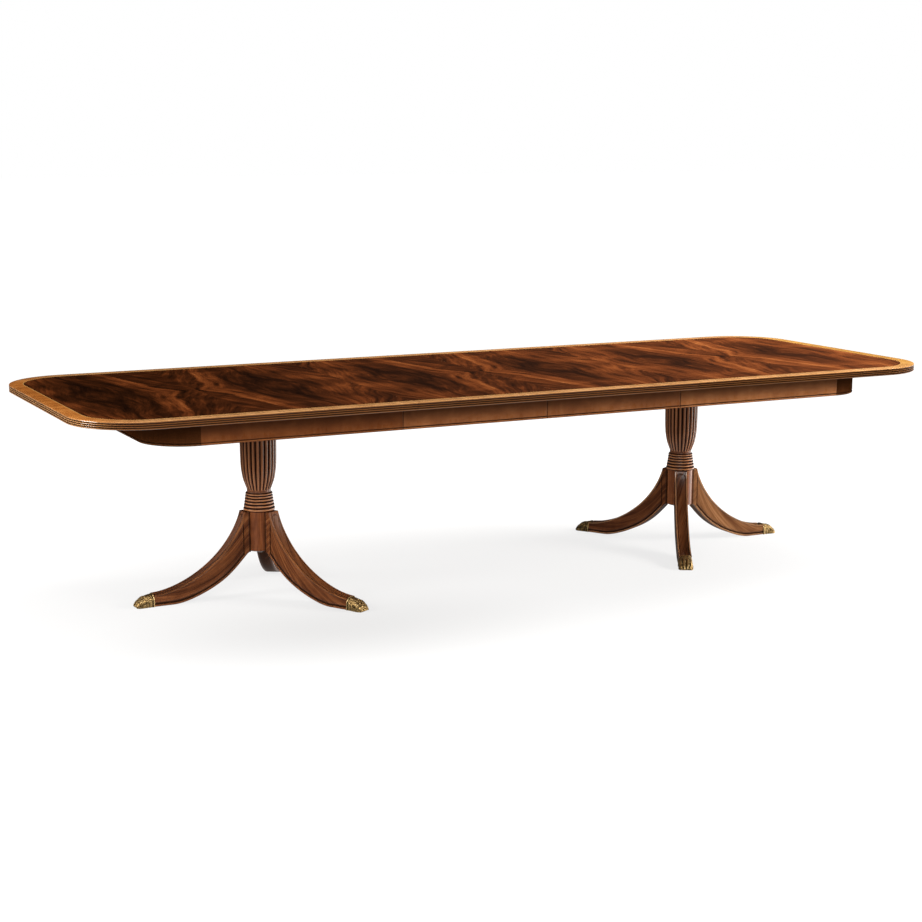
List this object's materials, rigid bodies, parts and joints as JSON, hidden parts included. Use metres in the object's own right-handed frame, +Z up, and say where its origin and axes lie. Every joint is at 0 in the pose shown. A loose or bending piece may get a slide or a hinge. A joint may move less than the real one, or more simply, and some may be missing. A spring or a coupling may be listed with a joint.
{
  "type": "double pedestal dining table",
  "caption": "Extending dining table with a crossbanded top, reeded edge and apron, loose leaves on wooden slides, and turned pedestals on sabre legs with brass paw feet.",
  "frame": {"origin": "on the floor under the middle of the top", "axes": "+X along the table's length, -Y the front, +Z up"},
  "size_m": [3.353, 1.219, 0.75],
  "materials": {
    "flame_mahogany_top": "polished flame mahogany veneer with a satinwood crossband",
    "mahogany_edge": "polished, dark glaze in the reeds",
    "mahogany_apron": "polished mahogany veneer",
    "mahogany_corner": "polished dark mahogany",
    "mahogany_pedestal": "polished, dark glaze in the mouldings",
    "antique_brass": "aged cast brass",
    "latch_brass": "satin",
    "steel_fixings": "zinc plated",
    "hardwood_inner": "planed beech, thin sealer"
  },
  "bodies": {
    "left_half": {"left_apron_back": "mahogany_apron", "left_apron_corners": "mahogany_corner", "left_apron_end": "mahogany_apron", "left_apron_front": "mahogany_apron", "left_bearer": "hardwood_inner", "left_column": "mahogany_pedestal", "left_glue_blocks": "hardwood_inner", "left_hub": "mahogany_pedestal", "left_hub_plate": "steel_fixings", "left_latch_fittings": "latch_brass", "left_leg_back": "mahogany_pedestal", "left_leg_end": "mahogany_pedestal", "left_leg_front": "mahogany_pedestal", "left_paws": "antique_brass", "left_screws": "steel_fixings", "left_slide_rails": "hardwood_inner", "left_tie_rod": "steel_fixings", "left_top_edge": "mahogany_edge", "left_top_panel": "flame_mahogany_top"},
    "leaf_a": {"leaf_a_aprons": "mahogany_apron", "leaf_a_edges": "mahogany_edge", "leaf_a_glue_blocks": "hardwood_inner", "leaf_a_latch_fittings": "latch_brass", "leaf_a_panel": "flame_mahogany_top", "leaf_a_pins": "hardwood_inner"},
    "leaf_b": {"leaf_b_aprons": "mahogany_apron", "leaf_b_edges": "mahogany_edge", "leaf_b_glue_blocks": "hardwood_inner", "leaf_b_latch_fittings": "latch_brass", "leaf_b_panel": "flame_mahogany_top", "leaf_b_pins": "hardwood_inner"},
    "right_half": {"right_apron_back": "mahogany_apron", "right_apron_corners": "mahogany_corner", "right_apron_end": "mahogany_apron", "right_apron_front": "mahogany_apron", "right_bearer": "hardwood_inner", "right_column": "mahogany_pedestal", "right_glue_blocks": "hardwood_inner", "right_hub": "mahogany_pedestal", "right_hub_plate": "steel_fixings", "right_latch_fittings": "latch_brass", "right_leg_back": "mahogany_pedestal", "right_leg_end": "mahogany_pedestal", "right_leg_front": "mahogany_pedestal", "right_paws": "antique_brass", "right_pins": "hardwood_inner", "right_screws": "steel_fixings", "right_slide_rails": "hardwood_inner", "right_tie_rod": "steel_fixings", "right_top_edge": "mahogany_edge", "right_top_panel": "flame_mahogany_top"},
    "slide_carriage": {"centre_slide_battens": "hardwood_inner", "centre_slide_rails": "hardwood_inner"},
    "latch_1_front_lever": {"latch_1_front": "latch_brass"},
    "latch_1_back_lever": {"latch_1_back": "latch_brass"},
    "latch_2_front_lever": {"latch_2_front": "latch_brass"},
    "latch_2_back_lever": {"latch_2_back": "latch_brass"},
    "latch_3_front_lever": {"latch_3_front": "latch_brass"},
    "latch_3_back_lever": {"latch_3_back": "latch_brass"}
  },
  "joints": [
    {"name": "seam_1_open", "type": "slide", "parent": "left_half", "child": "leaf_a", "axis": [1, 0, 0], "range_m": [0, 0.04]},
    {"name": "seam_2_open", "type": "slide", "parent": "leaf_a", "child": "leaf_b", "axis": [1, 0, 0], "range_m": [0, 0.04]},
    {"name": "seam_3_open", "type": "slide", "parent": "leaf_b", "child": "right_half", "axis": [1, 0, 0], "range_m": [0, 0.04]},
    {"name": "carriage_slide", "type": "slide", "parent": "left_half", "child": "slide_carriage", "axis": [1, 0, 0], "range_m": [-0.06, 0.06]},
    {"name": "latch_1_front_turn", "type": "hinge", "parent": "left_half", "child": "latch_1_front_lever", "pos_m": [-0.583, -0.415, 0.7194], "axis": [0, 0, -1], "range_deg": [0, 90]},
    {"name": "latch_1_back_turn", "type": "hinge", "parent": "left_half", "child": "latch_1_back_lever", "pos_m": [-0.583, 0.415, 0.7194], "axis": [0, 0, 1], "range_deg": [0, 90]},
    {"name": "latch_2_front_turn", "type": "hinge", "parent": "leaf_a", "child": "latch_2_front_lever", "pos_m": [-0.024, -0.415, 0.7194], "axis": [0, 0, -1], "range_deg": [0, 90]},
    {"name": "latch_2_back_turn", "type": "hinge", "parent": "leaf_a", "child": "latch_2_back_lever", "pos_m": [-0.024, 0.415, 0.7194], "axis": [0, 0, 1], "range_deg": [0, 90]},
    {"name": "latch_3_front_turn", "type": "hinge", "parent": "right_half", "child": "latch_3_front_lever", "pos_m": [0.583, -0.415, 0.7194], "axis": [0, 0, 1], "range_deg": [0, 90]},
    {"name": "latch_3_back_turn", "type": "hinge", "parent": "right_half", "child": "latch_3_back_lever", "pos_m": [0.583, 0.415, 0.7194], "axis": [0, 0, -1], "range_deg": [0, 90]}
  ]
}
